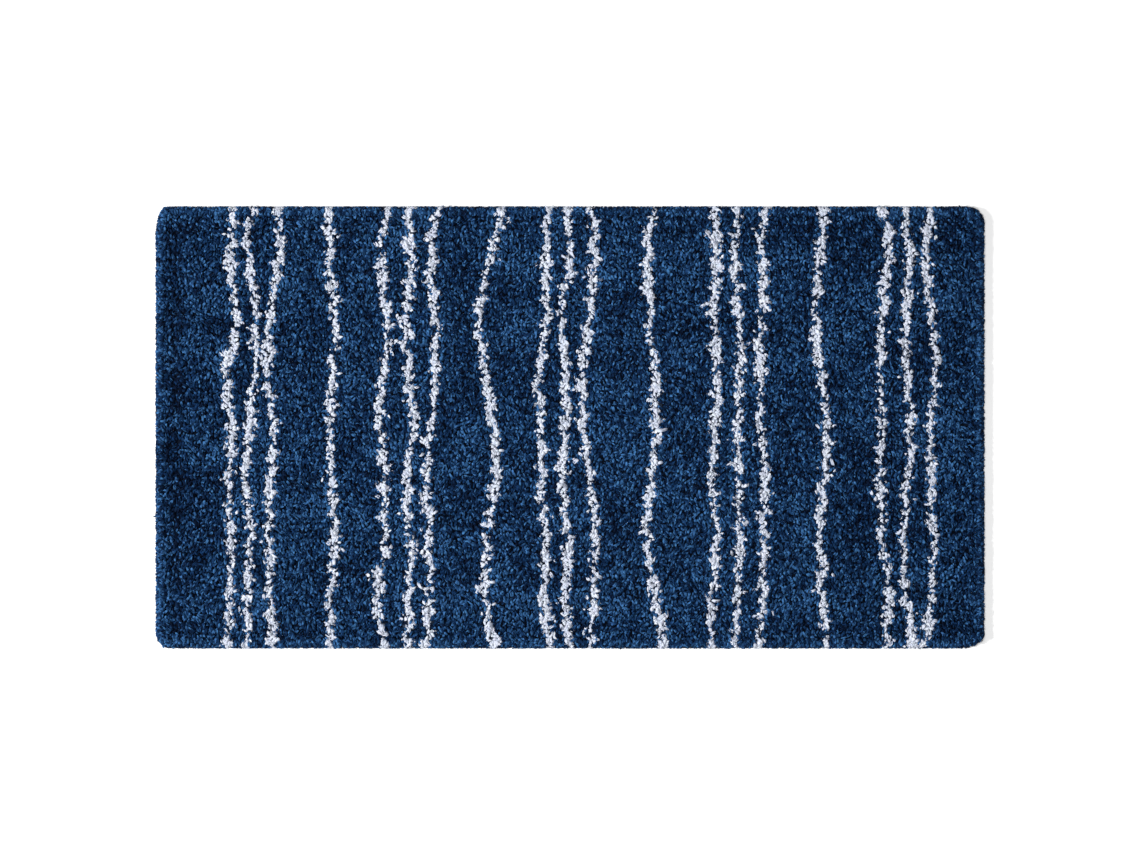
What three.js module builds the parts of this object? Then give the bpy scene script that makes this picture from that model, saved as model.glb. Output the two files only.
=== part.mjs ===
// A tufted bath mat: blue and white pile on a backing cloth, a grip coating under the cloth, and a sewn hem.
//
// Millimetres, +Z up. The origin is the middle of the underside. +X runs along the mat's long side and +Y along
// its short side. Every white stripe runs along Y, from one long edge to the other.

import * as THREE from 'three';

// Driving dimensions
const LENGTH = 1100; // over the pile, along X
const WIDTH = 588; // over the pile, along Y
const HEIGHT = 15; // from the floor to the tips of the pile
const CORNER_RADIUS = 24; // of the pile's outline, seen from above
const GAP = 0.3; // clearance between pieces that touch

// Layers, from the floor up
const COATING_THICKNESS = 1.5;
const THREAD_LIFT = 0.1; // the thread's underside, above the floor
const THREAD_THICKNESS = 0.3;
const THREAD_WIDTH = 0.6;
const HEM_BOTTOM = THREAD_LIFT + THREAD_THICKNESS + GAP;
const HEM_TOP = COATING_THICKNESS;
const BACKING_BOTTOM = COATING_THICKNESS + GAP;
const BACKING_THICKNESS = 1;
const PILE_BOTTOM = BACKING_BOTTOM + BACKING_THICKNESS + GAP;

// Edges
const OVERHANG = 6; // how far the pile stands out past the folded edge of the cloth
const HEM_WIDTH = 21;
const SEAM_INSET = 22.5; // from the pile's outline to the line of stitches
const EDGE_ROLL = 9; // how far in from the outline the pile rounds over
const EDGE_HEIGHT = 4; // of the pile's outermost tufts, above the cloth

// Stripes
const STRIPE_WIDTH = 12;
const WANDER_STEPS = 8; // equal steps along Y between the places where a stripe's wander is given

// Each white stripe: its mean X, and how far it wanders from that, from the back edge (+Y) to the front edge.
const STRIPES = [
  { x: -449, wander: [6, 0, 8, -6, 2, -5, 2, 0, -6] },
  { x: -423, wander: [2, -1, 9, 6, -2, -6, 2, -3, -5] },
  { x: -394, wander: [10, 9, -3, -6, 2, -3, -4, -2, 1] },
  { x: -315, wander: [-3, -3, 5, 3, -3, 1, 5, 0, -3] },
  { x: -247, wander: [3, -3, 7, -1, -2, 2, 2, -8, 3] },
  { x: -213, wander: [0, 3, -4, -1, 5, -5, 4, 0, -4] },
  { x: -183, wander: [8, -2, 4, 6, 0, -6, -5, -2, -5] },
  { x: -105, wander: [20, -2, -14, -6, 6, 7, -5, -6, 4] },
  { x: -33, wander: [5, 1, 4, -8, -5, -3, 0, 0, 5] },
  { x: -5, wander: [1, 4, -7, 0, -2, -6, 1, 1, 5] },
  { x: 27, wander: [1, 6, -2, -10, -11, 1, 6, 3, 2] },
  { x: 110, wander: [-1, -9, -4, 3, 6, -1, -8, 3, 16] },
  { x: 191, wander: [-3, 2, -2, 4, 1, -4, 2, -2, -2] },
  { x: 222, wander: [2, -4, 0, 4, -1, 2, 0, -2, -1] },
  { x: 254, wander: [1, -2, 3, -4, 0, 5, 0, 3, -6] },
  { x: 333, wander: [3, -3, -9, -1, 7, 3, -6, 1, 6] },
  { x: 414, wander: [2, 6, -1, -6, 0, -4, -1, 6, 2] },
  { x: 446, wander: [-3, 3, -4, -1, 5, 0, -3, -1, 5] },
  { x: 476, wander: [-1, -6, 2, 6, -1, 1, 3, 2, -10] },
];

// How finely the pile is divided
const MIDDLE_STEPS = 15; // lengths of pile between the rounded corners
const CORNER_STEPS = 3; // lengths of pile along each corner's quarter circle
const ROLL_STEPS = 2; // widths of pile across the rounded outer edge
const CURVE_SEGMENTS = 8; // along each quarter circle of the flat layers

const BLUE_YARN = new THREE.MeshStandardMaterial({ color: '#1d3f70', roughness: 0.95, metalness: 0 });
const WHITE_YARN = new THREE.MeshStandardMaterial({ color: '#dcdfe9', roughness: 0.95, metalness: 0 });
const BACKING_CLOTH = new THREE.MeshStandardMaterial({ color: '#c9c6bd', roughness: 0.9, metalness: 0 });
const HEM_CLOTH = new THREE.MeshStandardMaterial({ color: '#24406b', roughness: 0.9, metalness: 0 });
const HEM_THREAD = new THREE.MeshStandardMaterial({ color: '#16294a', roughness: 0.7, metalness: 0 });
const GRIP_LATEX = new THREE.MeshStandardMaterial({ color: '#e6e3da', roughness: 0.6, metalness: 0 });

function namedMesh(name, geometry, material) {
  const mesh = new THREE.Mesh(geometry, material);
  mesh.name = name;
  return mesh;
}

function numbered(stem, index) {
  return `${stem}_${String(index + 1).padStart(2, '0')}`;
}

// ---------------------------------------------------------------------------------------------------------
// Pile

// How far a point lies inside the mat's rounded outline.
function insetFrom(x, y) {
  const pastX = Math.abs(x) - (LENGTH / 2 - CORNER_RADIUS);
  const pastY = Math.abs(y) - (WIDTH / 2 - CORNER_RADIUS);
  if (pastX > 0 && pastY > 0) return CORNER_RADIUS - Math.hypot(pastX, pastY);
  return CORNER_RADIUS - Math.max(pastX, pastY);
}

// The pile's top: full height inside, and rounded over towards the outline on a quarter ellipse.
function pileTop(x, y) {
  const full = HEIGHT - PILE_BOTTOM;
  const inward = THREE.MathUtils.clamp(insetFrom(x, y) / EDGE_ROLL, 0, 1);
  const rise = Math.sqrt(1 - (1 - inward) ** 2);
  return PILE_BOTTOM + EDGE_HEIGHT + (full - EDGE_HEIGHT) * rise;
}

// The outline's distance from the long centre line, where the corners are quarter circles.
function outlineX(y) {
  const past = Math.max(0, Math.abs(y) - (WIDTH / 2 - CORNER_RADIUS));
  return LENGTH / 2 - CORNER_RADIUS + Math.sqrt(Math.max(0, CORNER_RADIUS ** 2 - past ** 2));
}

// The places along Y where the pile's cross-sections are drawn, from front to back.
function pileStations() {
  const straight = WIDTH / 2 - CORNER_RADIUS;
  const half = [];
  for (let step = 1; step <= CORNER_STEPS; step += 1) {
    half.push(straight + CORNER_RADIUS * Math.sin((Math.PI / 2) * (step / CORNER_STEPS)));
  }
  const middle = [];
  for (let step = 0; step <= MIDDLE_STEPS; step += 1) {
    middle.push(-straight + 2 * straight * (step / MIDDLE_STEPS));
  }
  return [...half.map((y) => -y).reverse(), ...middle, ...half];
}

// One stripe's centre line, as a smooth curve through its wander.
function stripeCentre({ x, wander }) {
  const places = wander.map((_, step) => -WIDTH / 2 + (WIDTH * step) / WANDER_STEPS);
  const fromFront = [...wander].reverse().map((offset) => x + offset);
  const curve = new THREE.CubicInterpolant(places, fromFront, 1);
  return (y) => curve.evaluate(y)[0];
}

// A closed body through cross-sections that all have the same number of corners.
function loft(sections) {
  const corners = sections[0].length;
  const positions = sections.flat().flatMap((point) => [point.x, point.y, point.z]);
  const indices = [];
  for (let section = 0; section < sections.length - 1; section += 1) {
    for (let corner = 0; corner < corners; corner += 1) {
      const here = section * corners + corner;
      const beside = section * corners + ((corner + 1) % corners);
      indices.push(here, beside, here + corners, beside, beside + corners, here + corners);
    }
  }
  const last = (sections.length - 1) * corners;
  for (let corner = 1; corner < corners - 1; corner += 1) {
    indices.push(0, corner + 1, corner);
    indices.push(last, last + corner, last + corner + 1);
  }
  const geometry = new THREE.BufferGeometry();
  geometry.setAttribute('position', new THREE.Float32BufferAttribute(positions, 3));
  geometry.setIndex(indices);
  geometry.computeVertexNormals();
  return geometry;
}

// One band of pile between two curves, left(y) and right(y). An outer side rounds over in extra steps.
function pileBand(left, right, outerSide) {
  const sections = pileStations().map((y) => {
    const tops = [right(y), left(y)];
    for (let step = 1; step <= ROLL_STEPS; step += 1) {
      const inward = EDGE_ROLL * (step / ROLL_STEPS) ** 2;
      if (outerSide === 'right') tops.splice(step, 0, right(y) - inward);
      if (outerSide === 'left') tops.splice(1, 0, left(y) + inward);
    }
    return [
      new THREE.Vector3(left(y), y, PILE_BOTTOM),
      new THREE.Vector3(right(y), y, PILE_BOTTOM),
      ...tops.map((x) => new THREE.Vector3(x, y, pileTop(x, y))),
    ];
  });
  return loft(sections.reverse());
}

function pileMeshes() {
  const centres = STRIPES.map(stripeCentre);
  const reach = STRIPE_WIDTH / 2;
  const meshes = centres.map((centre, index) => {
    const geometry = pileBand((y) => centre(y) - reach, (y) => centre(y) + reach, 'none');
    return namedMesh(numbered('white_pile', index), geometry, WHITE_YARN);
  });
  for (let field = 0; field <= centres.length; field += 1) {
    const first = field === 0;
    const last = field === centres.length;
    const left = first ? (y) => -outlineX(y) : (y) => centres[field - 1](y) + reach + GAP;
    const right = last ? outlineX : (y) => centres[field](y) - reach - GAP;
    const outerSide = first ? 'left' : last ? 'right' : 'none';
    meshes.push(namedMesh(numbered('blue_pile', field), pileBand(left, right, outerSide), BLUE_YARN));
  }
  return meshes;
}

// ---------------------------------------------------------------------------------------------------------
// Flat layers

const CLOTH_X = LENGTH / 2 - OVERHANG; // the folded edge of the cloth
const CLOTH_Y = WIDTH / 2 - OVERHANG;
const CLOTH_RADIUS = CORNER_RADIUS - OVERHANG;

function plate(shape, bottom, top) {
  const settings = { depth: top - bottom, bevelEnabled: false, curveSegments: CURVE_SEGMENTS };
  return new THREE.ExtrudeGeometry(shape, settings).translate(0, 0, bottom);
}

function roundedRectangle(halfX, halfY, radius) {
  const shape = new THREE.Shape();
  shape.moveTo(-halfX + radius, -halfY);
  shape.lineTo(halfX - radius, -halfY);
  shape.absarc(halfX - radius, -halfY + radius, radius, -Math.PI / 2, 0);
  shape.lineTo(halfX, halfY - radius);
  shape.absarc(halfX - radius, halfY - radius, radius, 0, Math.PI / 2);
  shape.lineTo(-halfX + radius, halfY);
  shape.absarc(-halfX + radius, halfY - radius, radius, Math.PI / 2, Math.PI);
  shape.lineTo(-halfX, -halfY + radius);
  shape.absarc(-halfX + radius, -halfY + radius, radius, Math.PI, Math.PI * 1.5);
  return shape;
}

function backingCloth() {
  const shape = roundedRectangle(CLOTH_X, CLOTH_Y, CLOTH_RADIUS);
  const geometry = plate(shape, BACKING_BOTTOM, BACKING_BOTTOM + BACKING_THICKNESS);
  return namedMesh('backing_cloth', geometry, BACKING_CLOTH);
}

function gripCoating() {
  const border = HEM_WIDTH + GAP;
  const cornerRadius = 2;
  const shape = roundedRectangle(CLOTH_X - border, CLOTH_Y - border, cornerRadius);
  return namedMesh('grip_coating', plate(shape, 0, COATING_THICKNESS), GRIP_LATEX);
}

// A hem strip along the front of a cloth that reaches halfLength to each side, its ends mitred at 45 degrees.
function hemStrip(name, halfLength, halfAcross, turn) {
  const mitre = GAP / Math.SQRT2; // half of the gap between two mitred strips, measured along the edge
  const arcX = halfLength - CLOTH_RADIUS;
  const arcY = -halfAcross + CLOTH_RADIUS;
  const end = -Math.PI / 4 - Math.asin(GAP / 2 / CLOTH_RADIUS); // the arc stops short by half of the gap too
  const inner = halfLength - HEM_WIDTH - mitre;
  const shape = new THREE.Shape();
  shape.moveTo(-inner, -halfAcross + HEM_WIDTH);
  shape.absarc(-arcX, arcY, CLOTH_RADIUS, -Math.PI - end, -Math.PI / 2);
  shape.absarc(arcX, arcY, CLOTH_RADIUS, -Math.PI / 2, end);
  shape.lineTo(inner, -halfAcross + HEM_WIDTH);
  return namedMesh(name, plate(shape, HEM_BOTTOM, HEM_TOP).rotateZ(turn), HEM_CLOTH);
}

function hemThread(name, halfAcross, length, turn) {
  const geometry = new THREE.BoxGeometry(length, THREAD_WIDTH, THREAD_THICKNESS);
  geometry.translate(0, -halfAcross + SEAM_INSET, THREAD_LIFT + THREAD_THICKNESS / 2);
  return namedMesh(name, geometry.rotateZ(turn), HEM_THREAD);
}

// The four sides of the hem. Each is drawn along the front edge and turned about Z into its place.
function hemMeshes() {
  const sides = [
    { side: 'front', cloth: [CLOTH_X, CLOTH_Y], pile: [LENGTH, WIDTH / 2], turn: 0 },
    { side: 'right', cloth: [CLOTH_Y, CLOTH_X], pile: [WIDTH, LENGTH / 2], turn: Math.PI / 2 },
    { side: 'back', cloth: [CLOTH_X, CLOTH_Y], pile: [LENGTH, WIDTH / 2], turn: Math.PI },
    { side: 'left', cloth: [CLOTH_Y, CLOTH_X], pile: [WIDTH, LENGTH / 2], turn: -Math.PI / 2 },
  ];
  const cornerClearance = 1;
  return sides.flatMap(({ side, cloth, pile, turn }) => [
    hemStrip(`hem_${side}`, cloth[0], cloth[1], turn),
    hemThread(`hem_thread_${side}`, pile[1], pile[0] - 2 * (SEAM_INSET + cornerClearance), turn),
  ]);
}

const bathMat = new THREE.Group();
bathMat.add(backingCloth(), gripCoating(), ...hemMeshes(), ...pileMeshes());

export default bathMat;
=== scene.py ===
"""The looks of a tufted bath mat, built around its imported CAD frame.

Every length is in metres, in the frame's own axes: +X along the mat's long side, +Y along its short side,
and +Z up. The pile is real geometry: each yarn end is a small curled leaf or puff, copied from a short
library of shapes to its place on the pile's surface.
"""

import math

import bpy
import numpy as np
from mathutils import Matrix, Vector


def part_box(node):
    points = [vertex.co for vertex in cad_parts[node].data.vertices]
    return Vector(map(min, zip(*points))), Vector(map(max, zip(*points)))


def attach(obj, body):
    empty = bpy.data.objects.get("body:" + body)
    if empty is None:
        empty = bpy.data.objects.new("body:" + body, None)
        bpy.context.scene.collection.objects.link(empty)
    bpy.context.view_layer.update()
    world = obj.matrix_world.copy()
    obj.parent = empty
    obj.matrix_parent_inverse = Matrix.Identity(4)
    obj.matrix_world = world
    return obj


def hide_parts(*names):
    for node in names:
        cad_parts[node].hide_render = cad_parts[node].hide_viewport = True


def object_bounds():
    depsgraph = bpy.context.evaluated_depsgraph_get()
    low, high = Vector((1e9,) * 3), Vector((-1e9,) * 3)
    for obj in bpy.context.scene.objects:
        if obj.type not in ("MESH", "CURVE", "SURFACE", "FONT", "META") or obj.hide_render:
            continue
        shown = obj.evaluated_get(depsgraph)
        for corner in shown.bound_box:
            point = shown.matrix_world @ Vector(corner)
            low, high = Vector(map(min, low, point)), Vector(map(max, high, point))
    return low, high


# The objects of Blender's start-up scene go first, or they would count in the frame's bounds
for name in ("Cube", "Light", "Camera"):
    if name in bpy.data.objects:
        bpy.data.objects.remove(bpy.data.objects[name])

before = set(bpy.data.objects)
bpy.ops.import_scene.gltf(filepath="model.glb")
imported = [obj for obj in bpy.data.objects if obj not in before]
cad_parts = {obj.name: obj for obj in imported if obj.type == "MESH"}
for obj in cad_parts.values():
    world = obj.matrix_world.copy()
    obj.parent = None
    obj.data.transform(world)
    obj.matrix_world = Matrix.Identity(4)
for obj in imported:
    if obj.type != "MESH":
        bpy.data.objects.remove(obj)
CAD_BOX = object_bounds()

MM = 0.001
SEED = 20

# The mat, from the frame
HALF_X, HALF_Y, PILE_TOP = np.array(CAD_BOX[1])
PILE_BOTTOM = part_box("blue_pile_01")[0].z
CORNER = 24 * MM  # radius of the CAD outline at the mat's corners
# The pile's own corners are less even: how far each one's curve runs along X and along Y, in order round it
CORNER_CURVES = {
    (1, -1): (34 * MM, 21 * MM),
    (1, 1): (24 * MM, 24 * MM),
    (-1, 1): (15 * MM, 42 * MM),
    (-1, -1): (21 * MM, 25 * MM),
}
ROLL_WIDTH = 9 * MM  # how far in from the outline the pile rounds over
ROLL_LOW = 2.7 * MM  # height of the outermost tufts' middles
ROOT_SHARE = 0.4  # how much of the pile's height is the dense mass of yarn under the ends
ROOT_INSET = 3.5 * MM  # how far in from the outline that mass stops
ROOT_SINK = 0.5 * MM  # how far the ends' roots go down into it
FLOOR_GAP = 0.3 * MM  # from the floor up to the lowest yarn, past the backing's folded edge
BACKING_INSETS = (2.5 * MM, 5 * MM)  # between these the lowest yarn rises to the pile's bottom

WHITE_NODES = sorted(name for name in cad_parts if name.startswith("white_pile"))
BLUE_NODES = sorted(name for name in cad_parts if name.startswith("blue_pile"))

# The pile
ROW_PITCH = 3.1 * MM  # between tufting rows, along X
STITCH_PITCH = 2.6 * MM  # between yarn ends in a row, along Y
CROWN_DROP = 0.9 * MM  # from the CAD's top down to the tallest ends' crowns
SEAM_INSET = 22.5 * MM  # from the outline to the hem's line of stitches
CORNER_STEPS = 40  # points along the outline at each corner
LIBRARY_SIZE = 40  # shapes of yarn end that the tufts share
MOST_ENDS = 4200  # yarn ends in one piece, so that a wide band of pile is made as several pieces


# ----------------------------------------------------------------------------------------------------------
# Small tools


def smooth_noise(x, y, cell, seed):
    """Smooth noise from -1 to 1 at the points (x, y), with features about one cell across."""
    rng = np.random.default_rng(seed)
    grid = rng.uniform(-1, 1, (257, 257))
    u = np.asarray(x) / cell + 100.37
    v = np.asarray(y) / cell + 100.73
    column, row = np.floor(u).astype(int), np.floor(v).astype(int)
    s, t = u - column, v - row
    s, t = s * s * (3 - 2 * s), t * t * (3 - 2 * t)
    column, row = column % 256, row % 256
    near = grid[row, column] * (1 - s) + grid[row, column + 1] * s
    far = grid[row + 1, column] * (1 - s) + grid[row + 1, column + 1] * s
    return near * (1 - t) + far * t


def inset_from_outline(x, y):
    """About how far each point lies inside the mat's rounded outline."""
    inset = np.minimum(HALF_X - np.abs(x), HALF_Y - np.abs(y))
    for (side_x, side_y), (along_x, along_y) in CORNER_CURVES.items():
        u = (x * side_x - HALF_X + along_x) / along_x
        v = (y * side_y - HALF_Y + along_y) / along_y
        reach = np.maximum(np.hypot(u, v), 1e-6)
        curve = (1 - reach) * reach / np.maximum(np.hypot(u / along_x, v / along_y), 1e-6)
        inset = np.where((u > 0) & (v > 0), np.minimum(inset, curve), inset)
    return inset


def mesh_piece(name, vertices, faces, face_slots=None):
    """A smooth-shaded mesh object. faces is a list of (count, corners) arrays of vertex numbers."""
    mesh = bpy.data.meshes.new(name)
    mesh.vertices.add(len(vertices))
    mesh.vertices.foreach_set("co", np.asarray(vertices, np.float32).ravel())
    loops = np.concatenate([part.ravel() for part in faces])
    totals = np.concatenate([np.full(len(part), part.shape[1]) for part in faces])
    starts = np.concatenate([[0], np.cumsum(totals)[:-1]])
    mesh.loops.add(len(loops))
    mesh.loops.foreach_set("vertex_index", loops.astype(np.int32))
    mesh.polygons.add(len(totals))
    mesh.polygons.foreach_set("loop_start", starts.astype(np.int32))
    mesh.polygons.foreach_set("use_smooth", np.full(len(totals), True))
    if face_slots is not None:
        mesh.polygons.foreach_set("material_index", face_slots.astype(np.int32))
    mesh.update(calc_edges=True)
    piece = bpy.data.objects.new(name, mesh)
    bpy.context.scene.collection.objects.link(piece)
    return piece


# ----------------------------------------------------------------------------------------------------------
# Materials


def new_material(name):
    material = bpy.data.materials.new(name)
    material.use_nodes = True
    return material, material.node_tree.nodes, material.node_tree.links


def set_ramp(ramp, stops):
    """Gives a colour ramp its stops, a list of (position, colour)."""
    elements = ramp.color_ramp.elements
    while len(elements) < len(stops):
        elements.new(0.5)
    for element, (position, colour) in zip(elements, stops):
        element.position = position
        element.color = (*colour, 1)


def yarn_material(name, shades, roots, streak=0.5):
    """Cut yarn. Each end has its own tone, darkened towards its root by painted shade, with streaks of fibre
    along it.
    """
    material, nodes, links = new_material(name)
    shader = nodes["Principled BSDF"]
    shader.inputs["Roughness"].default_value = 0.85
    shader.inputs["Specular IOR Level"].default_value = 0.08

    tint = nodes.new("ShaderNodeAttribute")
    tint.attribute_name = "tint"
    shade = nodes.new("ShaderNodeValToRGB")
    set_ramp(shade, [(index / (len(shades) - 1), colour) for index, colour in enumerate(shades)])
    links.new(tint.outputs["Fac"], shade.inputs["Fac"])

    fibre = nodes.new("ShaderNodeAttribute")
    fibre.attribute_name = "fibre"
    streaks = nodes.new("ShaderNodeTexNoise")
    streaks.inputs["Scale"].default_value = 1
    streaks.inputs["Detail"].default_value = 3
    links.new(fibre.outputs["Vector"], streaks.inputs["Vector"])

    streaked = nodes.new("ShaderNodeMix")
    streaked.data_type = "RGBA"
    streaked.blend_type = "MULTIPLY"
    streaked.inputs["Factor"].default_value = streak
    links.new(shade.outputs["Color"], streaked.inputs[6])
    links.new(streaks.outputs["Color"], streaked.inputs[7])

    # Painted shade: each end's colour fades to the roots colour towards its root
    along = nodes.new("ShaderNodeAttribute")
    along.attribute_name = "along"
    depth = nodes.new("ShaderNodeValToRGB")
    set_ramp(depth, [(0.25, (1, 1, 1)), (0.75, (0, 0, 0))])
    links.new(along.outputs["Fac"], depth.inputs["Fac"])
    rooted = nodes.new("ShaderNodeMix")
    rooted.data_type = "RGBA"
    rooted.inputs[7].default_value = (*roots, 1)
    links.new(depth.outputs["Color"], rooted.inputs["Factor"])
    links.new(streaked.outputs[2], rooted.inputs[6])
    links.new(rooted.outputs[2], shader.inputs["Base Color"])

    bump = nodes.new("ShaderNodeBump")
    bump.inputs["Strength"].default_value = 0.5
    bump.inputs["Distance"].default_value = 0.15 * MM
    links.new(streaks.outputs["Fac"], bump.inputs["Height"])
    links.new(bump.outputs["Normal"], shader.inputs["Normal"])
    return material


# ----------------------------------------------------------------------------------------------------------
# Yarn ends

PATH_STEPS = 60  # along a yarn end's bent path


class EndForm:
    """How a yarn end is drawn: a section with two lobes and a fold between them, in rings along the end.

    Each section point is a share of the half width and of the half thickness. The edges and the fold are
    the section's points that differ from end to end. Places are shares of the end's length, and swells are
    shares of its width.
    """

    def __init__(self, section, edges, fold, places, swells):
        self.section = np.array(section, float)
        self.edges, self.fold = edges, fold
        self.places, self.swells = places, swells
        self.points = len(section)
        self.quads, self.fans = self.faces()
        self.quad_map, self.fan_map = self.texture_map()

    def faces(self):
        """Quads between the rings, and a fan of triangles at the tip and at the root."""
        quads, fans = [], []
        tip = len(self.places) * self.points
        for first in range(0, tip - self.points, self.points):
            for point in range(self.points):
                here, beside = first + point, first + (point + 1) % self.points
                quads.append([here, beside, beside + self.points, here + self.points])
        for point in range(self.points):
            last = tip - self.points
            fans.append([last + point, last + (point + 1) % self.points, tip])
        for point in range(1, self.points - 1):
            fans.append([0, point + 1, point])
        return np.array(quads), np.array(fans)

    def texture_map(self):
        """Where each face corner lies on the end's own unit square: u goes round it, and v along it."""
        v = [*np.repeat(self.places, self.points), 1]
        quad_map, fan_map = [], []
        for quad in self.quads:
            u = quad[0] % self.points / self.points
            quad_map += [(u + step / self.points, v[corner]) for corner, step in zip(quad, (0, 1, 1, 0))]
        for fan in self.fans[: self.points]:
            u = fan[0] % self.points / self.points
            fan_map += [(u + step / self.points, v[corner]) for corner, step in zip(fan, (0, 1, 0.5))]
        for fan in self.fans[self.points :]:
            fan_map += [(corner / self.points, 0) for corner in fan]
        return np.array(quad_map), np.array(fan_map)


# Blue ends are slim leaves. White ends are fat puffs, drawn rounder because the light shows their shape.
BLUE_END = EndForm(
    section=[(-1, 0), (0, -1), (1, 0), (0.55, 1), (0, 1), (-0.55, 1)],
    edges=(0, 2),
    fold=4,
    places=(0, 0.42, 0.76, 0.94),
    swells=(0.5, 0.95, 1, 0.72),
)
WHITE_END = EndForm(
    section=[
        (-1, 0),
        (-0.7, -0.8),
        (0.7, -0.8),
        (1, 0),
        (0.8, 0.7),
        (0.4, 1),
        (0, 1),
        (-0.4, 1),
        (-0.8, 0.7),
    ],
    edges=(0, 3),
    fold=6,
    places=(0, 0.42, 0.74, 0.94),
    swells=(0.55, 0.95, 1, 0.72),
)

# The ranges of the ends' lengths, widths and thicknesses, in millimetres, and of their bends, in degrees
BLUE_RANGES = ((9, 12.5), (2.5, 3.6), (1.4, 2), (80, 125))
WHITE_RANGES = ((9, 12), (3.6, 4.8), (2.4, 3.2), (75, 120))


def bent_path(length, bend, drift):
    """A path that starts straight up and bends over along +Y, and the angle that it has turned by."""
    along = np.linspace(0, 1, PATH_STEPS + 1)
    angle = bend * along**1.4
    step = length / PATH_STEPS
    y = np.concatenate([[0], np.cumsum(np.sin(angle[:-1]))]) * step
    z = np.concatenate([[0], np.cumsum(np.cos(angle[:-1]))]) * step
    x = drift * length * along**2
    return np.stack([x, y, z], axis=1), angle


def yarn_end(form, rng, length, width, thickness, bend):
    """One curled yarn end, as rings of points and a tip. It leans along +Y, with its crown at the origin."""
    path, angle = bent_path(length, bend, rng.normal(0, 0.22))
    twist = rng.normal(0, 0.6)
    fold = rng.uniform(0.1, 1.9)
    curl = rng.uniform(-0.5, 0.9)
    points = []
    for place, swell in zip(form.places, form.swells):
        index = round(place * PATH_STEPS)
        up = np.array([0, -math.cos(angle[index]), math.sin(angle[index])])
        side = np.array([1.0, 0, 0])
        turn = twist * place
        flat = side * math.cos(turn) + up * math.sin(turn)
        thick = up * math.cos(turn) - side * math.sin(turn)
        section = form.section.copy()
        section[form.fold, 1] -= fold * min(1, 2 * place)
        section[list(form.edges), 1] += curl
        swell *= rng.uniform(0.88, 1.12)
        section *= (0.5 * width * swell, 0.5 * thickness * math.sqrt(swell))
        points += list(path[index] + section @ np.stack([flat, thick]))
    points.append(path[-1])
    points = np.array(points)
    return points - points[points[:, 2].argmax()]


def library(form, rng, lengths, widths, thicknesses, bends):
    """A short library of yarn ends that differ in length, width, thickness and curl."""
    return np.array(
        [
            yarn_end(
                form,
                rng,
                rng.uniform(*lengths) * MM,
                rng.uniform(*widths) * MM,
                rng.uniform(*thicknesses) * MM,
                math.radians(rng.uniform(*bends)),
            )
            for _ in range(LIBRARY_SIZE)
        ]
    )


def plant(form, shapes, tufts):
    """Copies of the library's shapes in the tufts' places, each rooted in the mass of yarn under it.

    No yarn goes down through the backing, and the ends past its folded edge stay above the floor.
    """
    sides = np.cross(tufts["lean"], tufts["normal"])
    sides /= np.linalg.norm(sides, axis=1, keepdims=True)
    leans = np.cross(tufts["normal"], sides)
    axes = np.stack([sides, leans, tufts["normal"]], axis=1)
    points = shapes[tufts["shape"]] * tufts["size"][:, None, None]
    points = np.einsum("nvk,nkc->nvc", points, axes) + tufts["place"][:, None, :]
    root_top = PILE_BOTTOM + ROOT_SHARE * (PILE_TOP - PILE_BOTTOM) - ROOT_SINK
    roots = points[:, : form.points]
    roots[:, :, 2] = np.minimum(roots[:, :, 2], root_top)
    inset = inset_from_outline(points[:, :, 0], points[:, :, 1])
    lowest = np.interp(inset, BACKING_INSETS, (FLOOR_GAP, PILE_BOTTOM))
    points[:, :, 2] = np.maximum(points[:, :, 2], lowest)
    return points


# ----------------------------------------------------------------------------------------------------------
# Where the tufts stand

# The pile's top
MOST_DEPTH = 3.2 * MM  # from the tallest ends' crowns down to the shortest ends'
CLUMPS = ((0.9 * MM, 9 * MM, SEED + 11), (0.7 * MM, 30 * MM, SEED + 12))  # height, size and seed of each kind
SHOULDER_WIDTH = 16 * MM  # how far in from the outline the top starts to fall
SHOULDER_DROP = 2 * MM

# The seam pulls the pile down a little further in than its stitches, and hardest at the left
DIP_INSET = SEAM_INSET + 7 * MM
DIP_WIDTH = 10 * MM
DIP_DEPTH = 2.2 * MM
DIP_ELSEWHERE = 0.35  # of the pull at the left

# The rounded outer edge
ROLL_ANGLES = (-22, -6, 10, 26, 42, 58, 74, 88)  # of its rows of tufts, in degrees up from level
ROLL_PITCH = 2.9 * MM  # between tufts in a row
ROLL_JITTER = 1.5 * MM
ROLL_REACH = ROLL_WIDTH + 0.6 * MM  # how far in the last row stands, in among the flat top's first tufts
ROLL_DEPTH = 1.6 * MM  # how far the shortest tufts stand in from the tallest
ROLL_MARGIN = 0.8 * MM  # from the outline in to the outermost crowns

# A stripe of white
STRIPE_HALF = 3.7 * MM  # half its usual width
LEAST_HALF = 2.2 * MM
HALF_VARIES = 3.2 * MM  # over a few tufts
HALF_DRIFTS = 1.2 * MM  # over longer stretches
STRIPE_SWAY = 3.4 * MM  # how far its middle strays from the CAD stripe's
EDGE_RAGGED = 4.9 * MM
EDGE_FROM = 3 * MM  # from a stripe's middle: nearer than this its edge is less ragged
BLUE_STRAYS, WHITE_STRAYS = 0.03, 0.035  # shares of the tufts that count as further out, or further in
BLUE_STRAY, WHITE_STRAY = 3 * MM, 5 * MM  # by how much
STRIPE_SHIFT = 31 * MM  # shifts the noise from stripe to stripe, so that no two share their lumps


def seam_line(x, y):
    """How much the hem's seam pulls the pile down, and how much painted shade darkens the pile there: 1 at
    most.
    """
    strength = np.where(x < -HALF_X + 3 * SEAM_INSET, 1, DIP_ELSEWHERE)
    return strength * np.exp(-(((inset_from_outline(x, y) - DIP_INSET) / DIP_WIDTH) ** 2))


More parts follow.
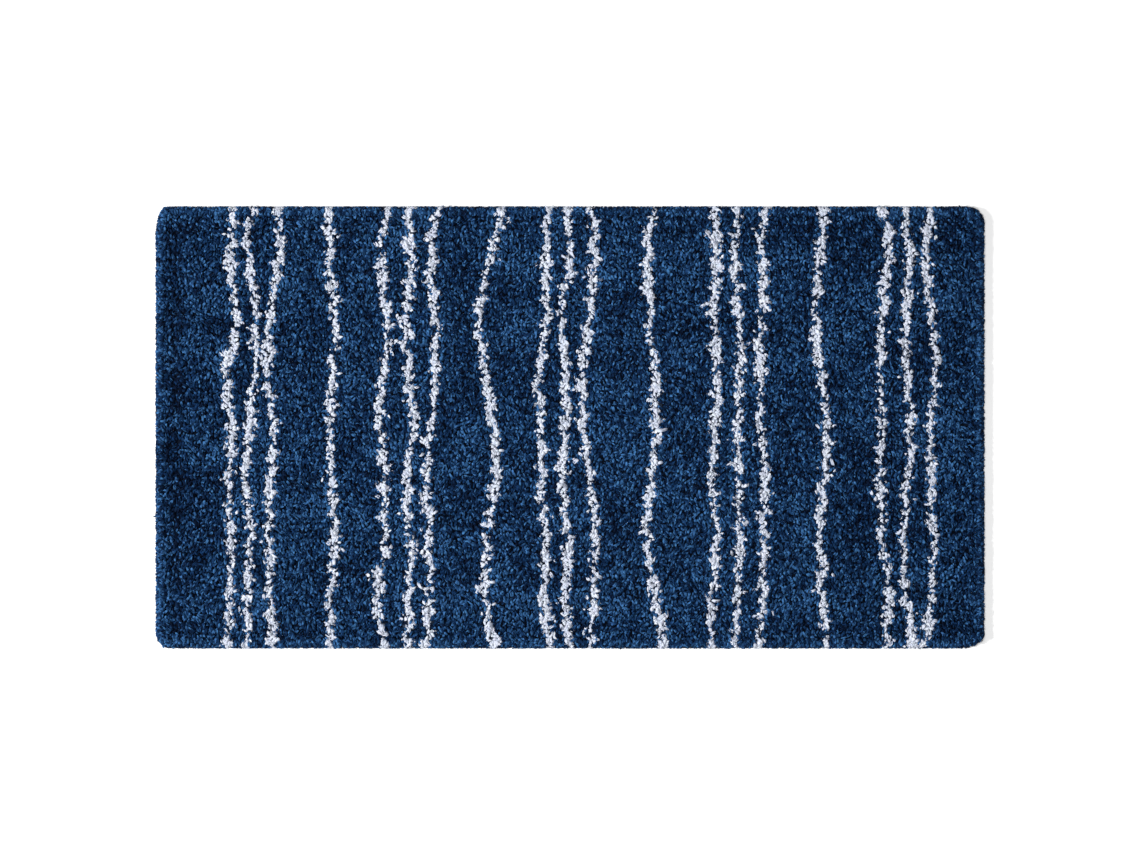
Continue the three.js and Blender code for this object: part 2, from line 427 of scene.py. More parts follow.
def interior_tufts(rng):
    """Tufts on the flat top of the pile, in jittered tufting rows: their places, normals and leans."""
    xs = np.arange(-HALF_X + ROLL_WIDTH, HALF_X - ROLL_WIDTH, ROW_PITCH)
    ys = np.arange(-HALF_Y + ROLL_WIDTH, HALF_Y - ROLL_WIDTH, STITCH_PITCH)
    row, x = (grid.ravel() for grid in np.meshgrid(np.arange(len(ys)), xs))
    y = ys[row] + np.where(np.arange(len(x)) % 2 == 0, 0, STITCH_PITCH / 2)
    x = x + rng.uniform(-0.5, 0.5, len(x)) * ROW_PITCH
    y = y + rng.uniform(-0.5, 0.5, len(y)) * STITCH_PITCH
    inside = inset_from_outline(x, y) > ROLL_WIDTH
    x, y = x[inside], y[inside]

    depth = MOST_DEPTH * rng.random(len(x)) ** 1.3
    clump = sum(height * smooth_noise(x, y, cell, seed) for height, cell, seed in CLUMPS)
    shoulder = np.clip(1 - inset_from_outline(x, y) / SHOULDER_WIDTH, 0, 1)
    z = PILE_TOP - CROWN_DROP - depth + clump - DIP_DEPTH * seam_line(x, y) - SHOULDER_DROP * shoulder
    places = np.stack([x, y, z], axis=1)

    slope_x = 0.45 * smooth_noise(x, y, 7 * MM, SEED + 13) + rng.normal(0, 0.2, len(x))
    slope_y = 0.45 * smooth_noise(x, y, 7 * MM, SEED + 14) + rng.normal(0, 0.2, len(x))
    normals = np.stack([slope_x, slope_y, np.ones(len(x))], axis=1)

    forward = smooth_noise(x, y, 6 * MM, SEED + 15) + rng.normal(0, 0.3, len(x)) > 0
    drift = 0.8 * smooth_noise(x, y, 14 * MM, SEED + 16)
    heading = math.pi * np.where(forward, 0.5, -0.5) + drift + rng.normal(0, 0.3, len(x))
    leans = np.stack([np.cos(heading), np.sin(heading), np.zeros(len(x))], axis=1)
    return places, normals, leans


def outline():
    """The rounded outline as a closed line: places along it, its points, and the outward directions."""
    points, facings = [], []
    for quarter, ((side_x, side_y), (along_x, along_y)) in enumerate(CORNER_CURVES.items()):
        for angle in math.pi / 2 * (quarter - 1 + np.linspace(0, 1, CORNER_STEPS)):
            x = side_x * (HALF_X - along_x) + along_x * math.cos(angle)
            y = side_y * (HALF_Y - along_y) + along_y * math.sin(angle)
            points.append((x, y))
            facings.append(math.atan2(math.sin(angle) / along_y, math.cos(angle) / along_x))
    points = np.array([*points, points[0]])
    steps = np.hypot(*np.diff(points, axis=0).T)
    return np.concatenate([[0], np.cumsum(steps)]), points, np.unwrap([*facings, facings[0]])


def rolled_tuft(rng, x, y, facing, angle):
    """One tuft of the rounded edge, in from the outline's point (x, y): its place, normal and lean."""
    lift = angle + rng.uniform(-0.13, 0.13)
    out_x, out_y = math.cos(facing), math.sin(facing)
    side, up = math.cos(lift), math.sin(lift)
    depth = ROLL_DEPTH * rng.random() ** 1.4
    inward = ROLL_REACH * (1 - side) + ROLL_MARGIN + depth * side
    rise = PILE_TOP - ROLL_LOW - CROWN_DROP
    height = ROLL_LOW + (rise * up if up > 0 else ROLL_LOW * up) - depth * max(0, up)
    place = [x - out_x * inward, y - out_y * inward, height]
    normal = [out_x * side + rng.normal(0, 0.18), out_y * side + rng.normal(0, 0.18), max(0.15, up)]
    stray = rng.normal(0, 0.7)
    lean = [out_x - out_y * stray, out_y + out_x * stray, -1.2 * side]
    return place, normal, lean


def rolled_tufts(rng):
    """Tufts on the pile's rounded outer edge, from its outermost up to the flat top: the same facts."""
    along, line, facings = outline()
    length = along[-1]
    tufts = []
    for angle in np.radians(ROLL_ANGLES):
        for distance in np.arange(0, length, ROLL_PITCH):
            here = (distance + rng.uniform(-ROLL_JITTER, ROLL_JITTER)) % length
            x, y = np.interp(here, along, line[:, 0]), np.interp(here, along, line[:, 1])
            tufts.append(rolled_tuft(rng, x, y, np.interp(here, along, facings), angle))
    places, normals, leans = (np.array(facts) for facts in zip(*tufts))
    return places, normals, leans


def stripe_centre(node):
    """Places along Y, and the middle of the stripe there, from its CAD solid."""
    points = np.array([vertex.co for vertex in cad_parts[node].data.vertices])
    places = np.unique(points[:, 1].round(6))
    rows = [points[np.abs(points[:, 1] - y) < 1e-5, 0] for y in places]
    return places, np.array([(row.min() + row.max()) / 2 for row in rows])


def sort_by_yarn(x, y, rng):
    """Which tufts are white, and the numbers of each one's nearest stripe and of its blue field."""
    centres = np.array([np.interp(y, *stripe_centre(node)) for node in WHITE_NODES])
    nearest = np.abs(centres - x).argmin(axis=0)
    away = x - centres[nearest, np.arange(len(x))]
    own = nearest * STRIPE_SHIFT
    varied = HALF_VARIES * smooth_noise(y + own, own, 8 * MM, SEED + 1)
    drifted = HALF_DRIFTS * smooth_noise(y + own, own, 40 * MM, SEED + 5)
    half = np.maximum(STRIPE_HALF + varied + drifted, LEAST_HALF)
    slow_sway = 0.8 * smooth_noise(y + own, own, 17 * MM, SEED + 3)
    quick_sway = 0.9 * smooth_noise(y + own, own, 8 * MM, SEED + 4)
    reach = np.abs(away - STRIPE_SWAY * (slow_sway + quick_sway))
    ragged = smooth_noise(x, y, 5 * MM, SEED + 2)
    reach += EDGE_RAGGED * ragged * np.minimum(1, reach / EDGE_FROM)
    reach += rng.normal(0, 0.4, len(x)) * MM
    stray = rng.random(len(x))
    reach += np.where(stray < BLUE_STRAYS, BLUE_STRAY, 0)
    reach -= np.where(stray > 1 - WHITE_STRAYS, WHITE_STRAY, 0)
    return reach < half, nearest, (centres < x).sum(axis=0)


# ----------------------------------------------------------------------------------------------------------
# The pile's pieces

WHITE_TURN = 0.8  # spread of the white ends' leans about Z, in radians
MAP_FILL = 0.88  # how much of its cell in the texture map each end takes, so that neighbours stay apart


def turn_leans(leans, turns):
    """Turns each lean about Z by its own angle."""
    cos, sin = np.cos(turns), np.sin(turns)
    x, y = leans[:, 0].copy(), leans[:, 1].copy()
    leans[:, 0], leans[:, 1] = x * cos - y * sin, x * sin + y * cos


def chosen(tufts, rows):
    """The facts of only these tufts."""
    return {fact: values[rows] for fact, values in tufts.items()}


def build_pile():
    """All the pile, from one set of tufts that is shared out to the blue fields and the white stripes."""
    rng = np.random.default_rng(SEED)
    blue_shapes = library(BLUE_END, rng, *BLUE_RANGES)
    white_shapes = library(WHITE_END, rng, *WHITE_RANGES)

    surface = [np.concatenate(pair) for pair in zip(interior_tufts(rng), rolled_tufts(rng))]
    tufts = dict(zip(("place", "normal", "lean"), surface))
    tufts["normal"] /= np.linalg.norm(tufts["normal"], axis=1, keepdims=True)
    x, y = tufts["place"][:, 0], tufts["place"][:, 1]
    tufts["shape"] = rng.integers(0, LIBRARY_SIZE, len(x))
    tufts["size"] = rng.uniform(0.85, 1.15, len(x))
    patches = 0.5 * smooth_noise(x, y, 12 * MM, SEED + 21) + smooth_noise(x, y, 40 * MM, SEED + 22)
    # Random tone for each tuft and larger patches of it, with painted shade that darkens the groove along the
    # seam
    tint = 0.5 + 0.17 * patches - 0.2 * seam_line(x, y) + rng.normal(0, 0.33, len(x))
    tufts["tint"] = np.clip(tint, 0, 1)

    white, nearest, field = sort_by_yarn(x, y, rng)
    turn_leans(tufts["lean"], rng.normal(0, WHITE_TURN, len(x)) * white)
    for index, node in enumerate(BLUE_NODES):
        mine = chosen(tufts, ~white & (field == index))
        build_band(node, BLUE_YARN, BLUE_END, blue_shapes, mine)
    for index, node in enumerate(WHITE_NODES):
        mine = chosen(tufts, white & (nearest == index))
        build_band(node, WHITE_YARN, WHITE_END, white_shapes, mine)
    print("yarn ends", len(x), "white", int(white.sum()))


def build_band(node, materials, form, shapes, tufts):
    """One band of pile. A wide one is made as several pieces, side by side along X."""
    order = np.argsort(tufts["place"][:, 0], kind="stable")
    shares = np.array_split(order, math.ceil(len(order) / MOST_ENDS))
    for number, share in enumerate(shares):
        name = node.replace("pile", "tufts")
        if number > 0:
            name += f"_{number + 1}"
        piece = make_pile_piece(name, node, form, shapes, chosen(tufts, share), with_roots=number == 0)
        for material in materials:
            piece.data.materials.append(material)
        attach(piece, "root")
        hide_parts(node)


def root_mass(node):
    """The dense mass of yarn under the ends: the CAD solid made lower, and narrower at the mat's edge."""
    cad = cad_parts[node].data
    body = np.array([vertex.co for vertex in cad.vertices])
    pull = np.clip(ROOT_INSET - inset_from_outline(body[:, 0], body[:, 1]), 0, None)
    body[:, 0] -= np.sign(body[:, 0]) * pull * (np.abs(body[:, 0]) > HALF_X - CORNER)
    body[:, 1] -= np.sign(body[:, 1]) * pull * (np.abs(body[:, 1]) > HALF_Y - CORNER)
    body[:, 2] = PILE_BOTTOM + (body[:, 2] - PILE_BOTTOM) * ROOT_SHARE
    return body, np.array([polygon.vertices for polygon in cad.polygons])


def set_attribute(piece, name, kind, values):
    field = "vector" if kind == "FLOAT_VECTOR" else "value"
    attribute = piece.data.attributes.new(name, kind, "POINT")
    attribute.data.foreach_set(field, np.asarray(values, np.float32).ravel())


def lay_out_map(piece, form, ends, roots, root_faces):
    """A texture map with a cell of its own for each yarn end, and one row of cells for the roots."""
    cells = math.ceil(math.sqrt(ends)) + 1
    number = np.arange(ends)
    corner = np.stack([number % cells, number // cells], axis=1)[:, None, :]
    parts = (form.quad_map, form.fan_map)
    ends_map = [(corner + MAP_FILL * part[None]).reshape(-1, 2) / cells for part in parts]
    loops = roots[root_faces.ravel(), :2]
    if len(loops):
        low, high = loops.min(axis=0), loops.max(axis=0)
        loops = (loops - low) / (high - low)
    loops = loops * (1, MAP_FILL / cells) + (0, 1 - 1 / cells)
    layer = piece.data.uv_layers.new(name="OFBake")
    layer.data.foreach_set("uv", np.concatenate([*ends_map, loops]).astype(np.float32).ravel())


def make_pile_piece(name, node, form, shapes, tufts, with_roots):
    """The tufts' yarn ends as one piece. with_roots adds the mass of yarn that the whole band stands in."""
    points = plant(form, shapes, tufts)
    ends, per_end = points.shape[:2]
    first = (np.arange(ends) * per_end)[:, None, None]
    quads = (form.quads[None] + first).reshape(-1, 4)
    fans = (form.fans[None] + first).reshape(-1, 3)
    roots, root_faces = root_mass(node)
    if not with_roots:
        roots, root_faces = roots[:0], root_faces[:0]
    vertices = np.concatenate([points.reshape(-1, 3), roots])
    slots = np.repeat([0, 1], [len(quads) + len(fans), len(root_faces)])
    piece = mesh_piece(name, vertices, [quads, fans, root_faces + ends * per_end], slots)

    around = np.arange(form.points) * 9 / form.points
    rings = [np.stack([around, np.full(form.points, place * 3)], axis=1) for place in form.places]
    fibre = np.concatenate([*rings, [[4.5, 3]]])
    fibre = np.column_stack([np.tile(fibre, (ends, 1)), np.repeat(np.arange(ends) * 0.73, per_end)])
    along = np.append(np.repeat(form.places, form.points), 1)
    blank = np.zeros(len(roots))
    set_attribute(piece, "fibre", "FLOAT_VECTOR", np.concatenate([fibre, np.zeros((len(roots), 3))]))
    set_attribute(piece, "along", "FLOAT", np.concatenate([np.tile(along, ends), blank]))
    set_attribute(piece, "tint", "FLOAT", np.concatenate([np.repeat(tufts["tint"], per_end), blank]))
    lay_out_map(piece, form, ends, roots, root_faces)
    return piece


# ----------------------------------------------------------------------------------------------------------
# The underside: backing cloth, grip coating, hem and stitches

CLOTH_LOW, CLOTH_HIGH = (np.array(corner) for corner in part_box("backing_cloth"))
COATING_LOW, COATING_HIGH = (np.array(corner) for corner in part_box("grip_coating"))
CLOTH_RADIUS = CORNER - (HALF_X - CLOTH_HIGH[0])
COATING_RADIUS = 2 * MM
RIDGE_PITCH = 2 * ROW_PITCH  # the rows of tufts show through the coating as ridges
RIDGE_HEIGHT = 0.3 * MM
HEM_WIDTH = CLOTH_HIGH[0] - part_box("hem_right")[0].x
HEM_GAP = 0.3 * MM  # between two hem strips where they meet at a corner
STITCH_LENGTH = 2.5 * MM
STITCH_STEP = 3.2 * MM
SEAM_END_GAP = 1 * MM  # from a corner, where two seams would cross, to the end of each
THREAD_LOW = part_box("hem_thread_front")[0].z
THREAD_WIDTH = 0.6 * MM
THREAD_THICKNESS = 0.34 * MM
PUCKER = 0.05 * MM  # how much the hem's underside rises and falls
PUCKER_SPREAD = 2.6 * MM  # to each side of the stitches

# The hem's section: how far in from the fold, and how high, in millimetres. It starts at the inner edge,
# runs out along the underside, turns up round the edge of the backing cloth and comes back above it.
HEM_SECTION = [
    (21, 1.15),
    (20.6, 0.85),
    (19.2, 0.72),
    (17.4, 0.7),
    (16.5, 0.82),
    (15.6, 0.7),
    (12, 0.72),
    (7, 0.74),
    (2.5, 0.76),
    (0.7, 0.9),
    (-0.3, 1.3),
    (-0.6, 1.9),
    (-0.55, 2.5),
    (-0.3, 2.9),
    (-0.1, 2.7),
    (-0.1, 1.8),
    (0.4, 1.5),
    (10, 1.5),
    (20.5, 1.5),
]


def round_corners(x, y, half_x, half_y, radius):
    """Moves the points of a rectangle's grid so that the rectangle's corners become quarter circles."""
    past_x = np.maximum(np.abs(x) - (half_x - radius), 0)
    past_y = np.maximum(np.abs(y) - (half_y - radius), 0)
    reach = np.hypot(past_x, past_y)
    pull = 1 - np.maximum(past_x, past_y) / np.maximum(reach, 1e-9)
    pull = np.where(reach > 0, pull, 0)
    return x - np.sign(x) * past_x * pull, y - np.sign(y) * past_y * pull


def grid_faces(rows, columns):
    here = (np.arange(rows - 1)[:, None] * columns + np.arange(columns - 1)).ravel()
    return np.stack([here, here + 1, here + columns + 1, here + columns], axis=1)


def slab(name, half_x, half_y, radius, columns, rows, under, over):
    """A flat closed piece. under and over give its lower and upper height at the points (x, y)."""
    x, y = np.meshgrid(np.linspace(-half_x, half_x, columns), np.linspace(-half_y, half_y, rows))
    x, y = round_corners(x.ravel(), y.ravel(), half_x, half_y, radius)
    number = np.arange(rows * columns).reshape(rows, columns)
    rim = np.concatenate([number[0, :-1], number[:-1, -1], number[-1, :0:-1], number[:0:-1, 0]])
    low = np.stack([x, y, under(x, y)], axis=1)
    high = np.stack([x[rim], y[rim], over(x[rim], y[rim])], axis=1)
    top = len(low) + np.arange(len(rim))
    walls = np.stack([rim, np.roll(rim, -1), np.roll(top, -1), top], axis=1)
    faces = [grid_faces(rows, columns)[:, ::-1], walls, top[None, :]]
    return mesh_piece(name, np.concatenate([low, high]), faces)


def sine_of(nodes, links, socket, pitch):
    """The sine of a coordinate, with one wave for each pitch."""
    scaled = nodes.new("ShaderNodeMath")
    scaled.operation = "MULTIPLY"
    scaled.inputs[1].default_value = 2 * math.pi / pitch
    links.new(socket, scaled.inputs[0])
    sine = nodes.new("ShaderNodeMath")
    sine.operation = "SINE"
    links.new(scaled.outputs[0], sine.inputs[0])
    return sine.outputs[0]


def woven_material(name, shadow, thread, pitch):
    """Plain woven cloth: threads that pass over and under each other, and uneven dye."""
    material, nodes, links = new_material(name)
    shader = nodes["Principled BSDF"]
    shader.inputs["Specular IOR Level"].default_value = 0.2
    place = nodes.new("ShaderNodeTexCoord")
    axes = nodes.new("ShaderNodeSeparateXYZ")
    links.new(place.outputs["Object"], axes.inputs[0])
    weave = nodes.new("ShaderNodeMath")
    weave.operation = "MULTIPLY"
    links.new(sine_of(nodes, links, axes.outputs["X"], pitch), weave.inputs[0])
    links.new(sine_of(nodes, links, axes.outputs["Y"], pitch), weave.inputs[1])

    slubs = nodes.new("ShaderNodeTexNoise")
    slubs.inputs["Scale"].default_value = 0.25 / pitch
    slubs.inputs["Detail"].default_value = 4
    links.new(place.outputs["Object"], slubs.inputs["Vector"])
    mixed = nodes.new("ShaderNodeMath")
    mixed.operation = "MULTIPLY_ADD"
    mixed.inputs[1].default_value = 0.3
    links.new(weave.outputs[0], mixed.inputs[0])
    links.new(slubs.outputs["Fac"], mixed.inputs[2])
    colour = nodes.new("ShaderNodeValToRGB")
    set_ramp(colour, [(0.2, shadow), (0.75, thread)])
    links.new(mixed.outputs[0], colour.inputs["Fac"])
    links.new(colour.outputs["Color"], shader.inputs["Base Color"])

    rough = nodes.new("ShaderNodeMapRange")
    rough.inputs["To Min"].default_value = 0.78
    rough.inputs["To Max"].default_value = 0.95
    links.new(slubs.outputs["Fac"], rough.inputs["Value"])
    links.new(rough.outputs[0], shader.inputs["Roughness"])
    bump = nodes.new("ShaderNodeBump")
    bump.inputs["Strength"].default_value = 0.7
    bump.inputs["Distance"].default_value = 0.2 * pitch
    links.new(mixed.outputs[0], bump.inputs["Height"])
    links.new(bump.outputs["Normal"], shader.inputs["Normal"])
    return material


def latex_material(name):
    """A brushed-on coating: slightly glossy, a little yellowed in its thicker patches, with fine pores."""
    material, nodes, links = new_material(name)
    shader = nodes["Principled BSDF"]
    shader.inputs["Specular IOR Level"].default_value = 0.4
    place = nodes.new("ShaderNodeTexCoord")
    patches = nodes.new("ShaderNodeTexNoise")
    patches.inputs["Scale"].default_value = 40
    patches.inputs["Detail"].default_value = 5
    links.new(place.outputs["Object"], patches.inputs["Vector"])
    colour = nodes.new("ShaderNodeValToRGB")
    set_ramp(colour, [(0.3, (0.6, 0.57, 0.48)), (0.7, (0.76, 0.74, 0.67))])
    links.new(patches.outputs["Fac"], colour.inputs["Fac"])
    links.new(colour.outputs["Color"], shader.inputs["Base Color"])
    rough = nodes.new("ShaderNodeMapRange")
    rough.inputs["To Min"].default_value = 0.42
    rough.inputs["To Max"].default_value = 0.72
    links.new(patches.outputs["Fac"], rough.inputs["Value"])
    links.new(rough.outputs[0], shader.inputs["Roughness"])
    pores = nodes.new("ShaderNodeTexNoise")
    pores.inputs["Scale"].default_value = 900
    pores.inputs["Detail"].default_value = 2
    links.new(place.outputs["Object"], pores.inputs["Vector"])
    bump = nodes.new("ShaderNodeBump")
    bump.inputs["Strength"].default_value = 0.35
    bump.inputs["Distance"].default_value = 0.2 * MM
    links.new(pores.outputs["Fac"], bump.inputs["Height"])
    links.new(bump.outputs["Normal"], shader.inputs["Normal"])
    return material


def stand_for(piece, node, material):
    """Puts a finished piece in place of its CAD node."""
    piece.data.materials.append(material)
    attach(piece, "root")
    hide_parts(node)


def make_backing():
    half_x, half_y = CLOTH_HIGH[0], CLOTH_HIGH[1]

    def wave(x, y):
        return 0.05 * MM * smooth_noise(x, y, 25 * MM, SEED + 31)

    backing = slab(
        "backing_weave",
        half_x,
        half_y,
        CLOTH_RADIUS,
        columns=220,
        rows=118,
        under=lambda x, y: CLOTH_LOW[2] + 0.06 * MM + wave(x, y),
        over=lambda x, y: CLOTH_HIGH[2] - 0.06 * MM + wave(x, y),
    )
    material = woven_material("backing_weave", (0.33, 0.31, 0.26), (0.62, 0.6, 0.53), 1.1 * MM)
    stand_for(backing, "backing_cloth", material)


def make_coating():
    half_x, half_y = COATING_HIGH[0], COATING_HIGH[1]

    def under(x, y):
        ridges = RIDGE_HEIGHT * (0.5 - 0.5 * np.cos(2 * math.pi * x / RIDGE_PITCH))
        brushed = 0.12 * MM * (1 + smooth_noise(x, y, 9 * MM, SEED + 32))
        lumps = 0.08 * MM * (1 + smooth_noise(x, y, 3.5 * MM, SEED + 33))
        edge = np.minimum(half_x - np.abs(x), half_y - np.abs(y))
        rounded = 0.6 * MM * np.clip(1 - edge / (2 * MM), 0, 1) ** 2
        return COATING_LOW[2] + ridges * 0.8 + brushed + lumps + rounded

    coating = slab(
        "grip_latex",
        half_x,
        half_y,
        COATING_RADIUS,
        columns=round(2 * half_x / RIDGE_PITCH) * 5 + 1,
        rows=106,
        under=under,
        over=lambda x, y: np.full(len(x), COATING_HIGH[2]),
    )
    stand_for(coating, "grip_coating", latex_material("grip_latex"))


def turned_about_z(points, turn):
    cos, sin = math.cos(turn), math.sin(turn)
    return points @ np.array([[cos, sin, 0], [-sin, cos, 0], [0, 0, 1]])


def hem_path(half_length, half_across):
    """Places along a hem strip at the front, its fold's and its inner edge's points, and half its length."""
    straight = half_length - CLOTH_RADIUS
    sweep = math.pi / 4 - math.asin(0.5 * HEM_GAP / CLOTH_RADIUS)
    end = straight + sweep * CLOTH_RADIUS
    inner_end = half_length - HEM_WIDTH - HEM_GAP / math.sqrt(2)
    steps = round(2 * end / (STITCH_STEP / 3))
    place = np.linspace(-end, end, steps + 1)
    turned = np.clip((np.abs(place) - straight) / CLOTH_RADIUS, 0, None)
    fold_x = np.where(turned > 0, straight + CLOTH_RADIUS * np.sin(turned), np.abs(place))
    fold_y = -half_across + CLOTH_RADIUS * (1 - np.cos(turned))
    squeeze_from = inner_end - 30 * MM
    squeeze = (inner_end - squeeze_from) / (end - squeeze_from)
    squeezed = squeeze_from + (np.abs(place) - squeeze_from) * squeeze
    inner_x = np.where(np.abs(place) > squeeze_from, squeezed, np.abs(place))
    fold = np.stack([np.sign(place) * fold_x, fold_y], axis=1)
    inner = np.stack([np.sign(place) * inner_x, np.full(len(place), -half_across + HEM_WIDTH)], axis=1)
    return place, fold, inner, end


def make_hem_strip(side, half_length, half_across, turn):
    """One hem strip: the section swept along its side, puckered at the stitches, with mitred ends."""
    place, fold, inner, end = hem_path(half_length, half_across)
    section = np.array(HEM_SECTION) * MM
    share = (section[:, 0] / HEM_WIDTH)[None, :, None]
    ground = fold[:, None, :] * (1 - share) + inner[:, None, :] * share
    seam = SEAM_INSET - (HALF_X - CLOTH_HIGH[0])
    near_seam = np.exp(-(((section[:, 0] - seam) / PUCKER_SPREAD) ** 2))
    underside = section[:, 1] < 1.2 * MM
    pucker = -np.cos(2 * math.pi * place / STITCH_STEP)[:, None] * near_seam
    slack = smooth_noise(place, np.full(len(place), turn), 14 * MM, SEED + 34)[:, None]
    height = section[None, :, 1] + PUCKER * (pucker + slack) * underside
    points = turned_about_z(np.concatenate([ground, height[:, :, None]], axis=2), turn)
    count, around = len(place), len(section)
    first = np.arange(count - 1)[:, None] * around
    here = first + np.arange(around)
    beside = first + (np.arange(around) + 1) % around
    quads = np.stack([here, here + around, beside + around, beside], axis=2).reshape(-1, 4)
    start_cap = np.arange(around)[None, :]
    end_cap = (count - 1) * around + np.arange(around)[None, ::-1]
    strip = mesh_piece(f"hem_tape_{side}", points.reshape(-1, 3), [quads, start_cap, end_cap])
    stand_for(strip, f"hem_{side}", HEM_CLOTH)


def stitch_shape():
    """One stitch along X, which dips into the cloth at both ends: its points, quads and two end caps."""
    places = np.array([-0.52, -0.44, -0.2, 0.2, 0.44, 0.52]) * STITCH_LENGTH
    heights = THREAD_LOW + np.array([0.85, 0.42, 0.17, 0.17, 0.42, 0.85]) * MM
    swells = np.array([0.55, 0.85, 1, 1, 0.85, 0.55])
    angles = np.arange(6) * math.pi / 3
    ring_y = 0.5 * THREAD_WIDTH * np.cos(angles)
    ring_z = 0.5 * THREAD_THICKNESS * np.sin(angles)
    shape = np.array(
        [
            (x, y * swell, z + up * swell)
            for x, z, swell in zip(places, heights, swells)
            for y, up in zip(ring_y, ring_z)
        ]
    )
    quads, around = [], len(angles)
    for ring in range(len(places) - 1):
        for point in range(around):
            here, beside = ring * around + point, ring * around + (point + 1) % around
            quads.append([here, beside, beside + around, here + around])
    caps = np.array([np.arange(around)[::-1], np.arange(around) + (len(places) - 1) * around])
    return shape, np.array(quads), caps


def make_stitches(side, half_length, half_across, turn):
    """The hem's seam along one side, as a row of stitches that are placed a little unevenly."""
    shape, quads, caps = stitch_shape()
    reach = half_length - SEAM_INSET - SEAM_END_GAP - STITCH_LENGTH / 2
    count = int(2 * reach / STITCH_STEP) + 1
    rng = np.random.default_rng(SEED + 35)
    middle = (np.arange(count) - (count - 1) / 2) * STITCH_STEP
    across = rng.normal(0, 0.06 * MM, count) - half_across + SEAM_INSET
    offsets = np.stack([middle, across, np.zeros(count)], axis=1)
    lean = rng.normal(0, 0.05, count)
    points = shape[None] + offsets[:, None, :]
    points[:, :, 1] += lean[:, None] * shape[None, :, 0]
    points = turned_about_z(points.reshape(-1, 3), turn)
    first = (np.arange(count) * len(shape))[:, None, None]
    faces = [(corners[None] + first).reshape(-1, corners.shape[1]) for corners in (quads, caps)]
    stitches = mesh_piece(f"hem_stitches_{side}", points, faces)
    stand_for(stitches, f"hem_thread_{side}", HEM_THREAD)


def make_hem():
    """The hem's four sides. Each is drawn along the front edge and turned about Z into its place."""
    cloth_x, cloth_y = CLOTH_HIGH[0], CLOTH_HIGH[1]
    sides = [
        ("front", (cloth_x, cloth_y), (HALF_X, HALF_Y), 0),
        ("right", (cloth_y, cloth_x), (HALF_Y, HALF_X), math.pi / 2),
        ("back", (cloth_x, cloth_y), (HALF_X, HALF_Y), math.pi),
        ("left", (cloth_y, cloth_x), (HALF_Y, HALF_X), -math.pi / 2),
    ]
    for side, cloth, pile, turn in sides:
        make_hem_strip(side, *cloth, turn)
        make_stitches(side, *pile, turn)


# ----------------------------------------------------------------------------------------------------------
# Stage, light and camera

FLOOR_GLOW = 0.25  # a light table's, so that the mat's shadow stays faint
WORLD_LIGHT = 0.17
OVERHEAD_POWER = 14
KEY_POWER = 420  # comes slanting from the left, so that the pile shows its texture
LENS = 100  # millimetres, from far enough that the view is nearly without perspective
MAT_SHARE = 0.7285  # of the view's width that the mat takes up


def make_stage():
    bpy.ops.mesh.primitive_plane_add(size=30, location=(0, 0, -0.2 * MM))
    floor = bpy.context.object
    floor.name = "floor"
    material, nodes, _ = new_material("floor_white")
    shader = nodes["Principled BSDF"]
    shader.inputs["Base Color"].default_value = (0.9, 0.9, 0.9, 1)
    shader.inputs["Roughness"].default_value = 0.9
    shader.inputs["Specular IOR Level"].default_value = 0.1
    shader.inputs["Emission Color"].default_value = (1, 1, 1, 1)
    shader.inputs["Emission Strength"].default_value = FLOOR_GLOW
    floor.data.materials.append(material)


def soft_light(name, location, size, power):
    """An area light that faces the middle of the mat."""
    data = bpy.data.lights.new(name, "AREA")
    data.shape = "RECTANGLE"
    data.size, data.size_y = size
    data.energy = power
    light = bpy.data.objects.new(name, data)
    light.location = location
    light.rotation_euler = (-Vector(location)).to_track_quat("-Z", "Y").to_euler()
    light.visible_camera = False
    bpy.context.scene.collection.objects.link(light)


def make_lights():
    world = bpy.data.worlds.new("studio")
    world.use_nodes = True
    background = world.node_tree.nodes["Background"]
    background.inputs["Color"].default_value = (1, 1, 1, 1)
    background.inputs["Strength"].default_value = WORLD_LIGHT
    bpy.context.scene.world = world
    soft_light("overhead", (0.14, 0, 1.5), (0.7, 0.5), OVERHEAD_POWER)
    soft_light("key", (-4.4, -0.4, 3.2), (1.1, 1.1), KEY_POWER)


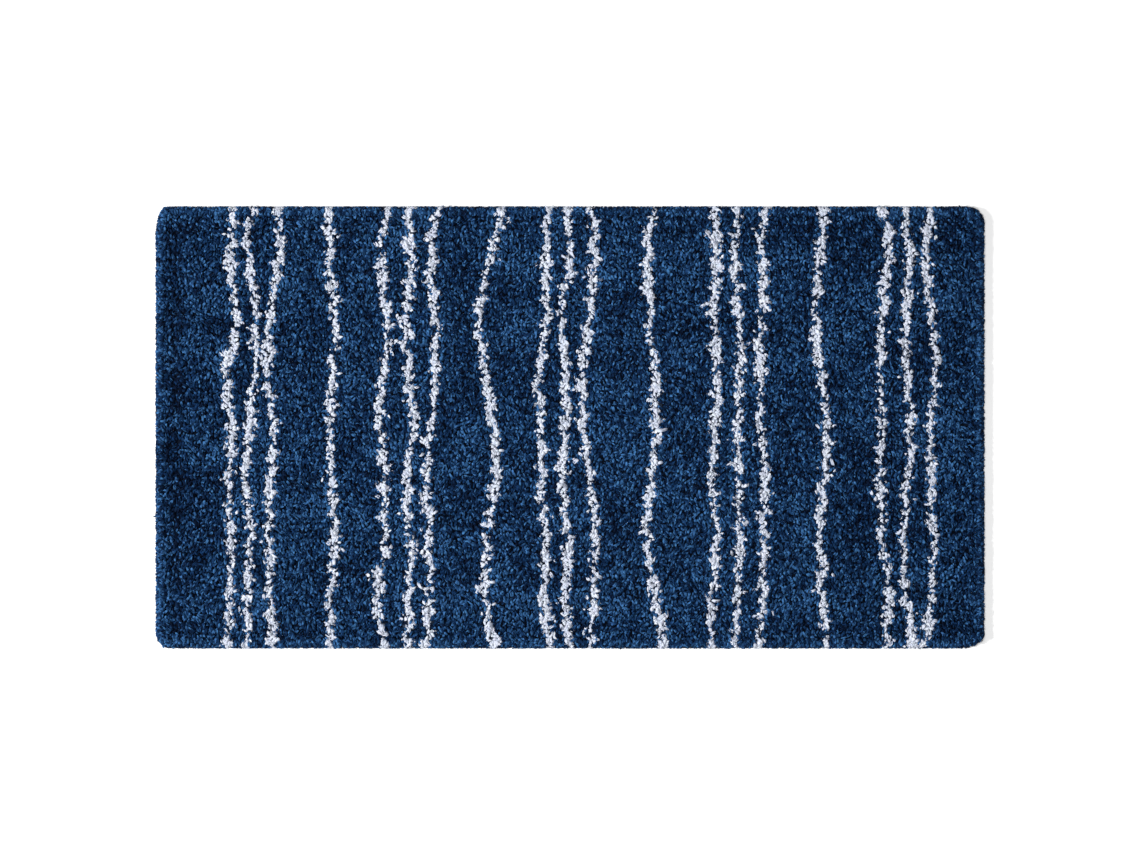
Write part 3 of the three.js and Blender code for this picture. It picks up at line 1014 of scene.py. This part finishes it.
def make_camera():
    """The camera, straight above the mat and turned so that +Y is up in the view."""
    data = bpy.data.cameras.new("camera")
    data.lens = LENS
    data.sensor_width = 36
    camera = bpy.data.objects.new("camera", data)
    view_width = 2 * HALF_X / MAT_SHARE
    camera.location = (0, 0, view_width * data.lens / data.sensor_width)
    bpy.context.scene.collection.objects.link(camera)
    bpy.context.scene.camera = camera


# ----------------------------------------------------------------------------------------------------------
# Colours of the pile and the hem, and the whole scene

BLUE_SHADES = [(0.0005, 0.0055, 0.024), (0.005, 0.034, 0.112), (0.05, 0.168, 0.395)]
# Painted shade: the blue ends darken to this towards their roots, and the mass of blue yarn under them is
# painted this dark
BLUE_PAINTED_ROOT_SHADE = (0.0005, 0.0026, 0.009)
WHITE_SHADES = [(0.52, 0.565, 0.67), (0.6, 0.64, 0.735), (0.68, 0.715, 0.8)]
# Painted shade: the white ends darken to this towards their roots
WHITE_PAINTED_ROOT_SHADE = (0.3, 0.35, 0.46)
WHITE_PAINTED_DEPTH_SHADE = (0.02, 0.032, 0.06)  # painted shade, near black, on the mass of white yarn that the white ends stand in
# The second material of each yarn is painted shade on the mass of yarn under its ends
BLUE_YARN = [
    yarn_material("blue_yarn", BLUE_SHADES, BLUE_PAINTED_ROOT_SHADE),
    yarn_material("blue_yarn_roots", [BLUE_PAINTED_ROOT_SHADE, BLUE_PAINTED_ROOT_SHADE], BLUE_PAINTED_ROOT_SHADE),
]
WHITE_YARN = [
    yarn_material("white_yarn", WHITE_SHADES, WHITE_PAINTED_ROOT_SHADE, streak=0.3),
    yarn_material("white_yarn_roots", [WHITE_PAINTED_DEPTH_SHADE, WHITE_PAINTED_DEPTH_SHADE], WHITE_PAINTED_DEPTH_SHADE),
]
HEM_CLOTH = woven_material("hem_cloth", (0.006, 0.016, 0.045), (0.02, 0.045, 0.11), 0.7 * MM)
HEM_THREAD = woven_material("hem_thread", (0.01, 0.022, 0.055), (0.035, 0.07, 0.15), 0.5 * MM)

bpy.context.scene.view_settings.view_transform = "Standard"
make_camera()
make_stage()
make_lights()
build_pile()
make_coating()
make_backing()
make_hem()
